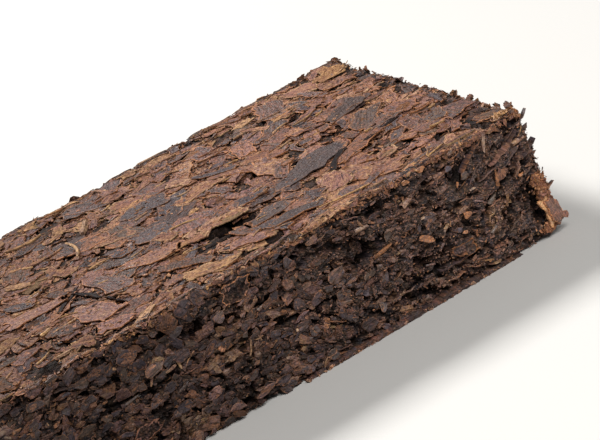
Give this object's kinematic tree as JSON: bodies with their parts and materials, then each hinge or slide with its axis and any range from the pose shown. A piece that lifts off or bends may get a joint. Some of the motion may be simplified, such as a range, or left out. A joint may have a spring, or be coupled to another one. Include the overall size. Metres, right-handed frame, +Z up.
{
  "type": "pu erh tea brick",
  "caption": "Rectangular brick of pressed fermented tea leaf, with flaky pressed faces, crumbly broken sides and worn edges.",
  "frame": {"origin": "middle of the face the brick lies on", "axes": "+X along the length, towards the end whose crust is peeling, +Y across, away from the side with the pressed lip, +Z up, out of the broad face that shows"},
  "size_m": [0.1422, 0.0922, 0.0308],
  "materials": {
    "pressed_leaf": "rough, with satin faces on the larger leaves"
  },
  "bodies": {
    "root": {"tea_brick": "pressed_leaf"}
  },
  "joints": []
}
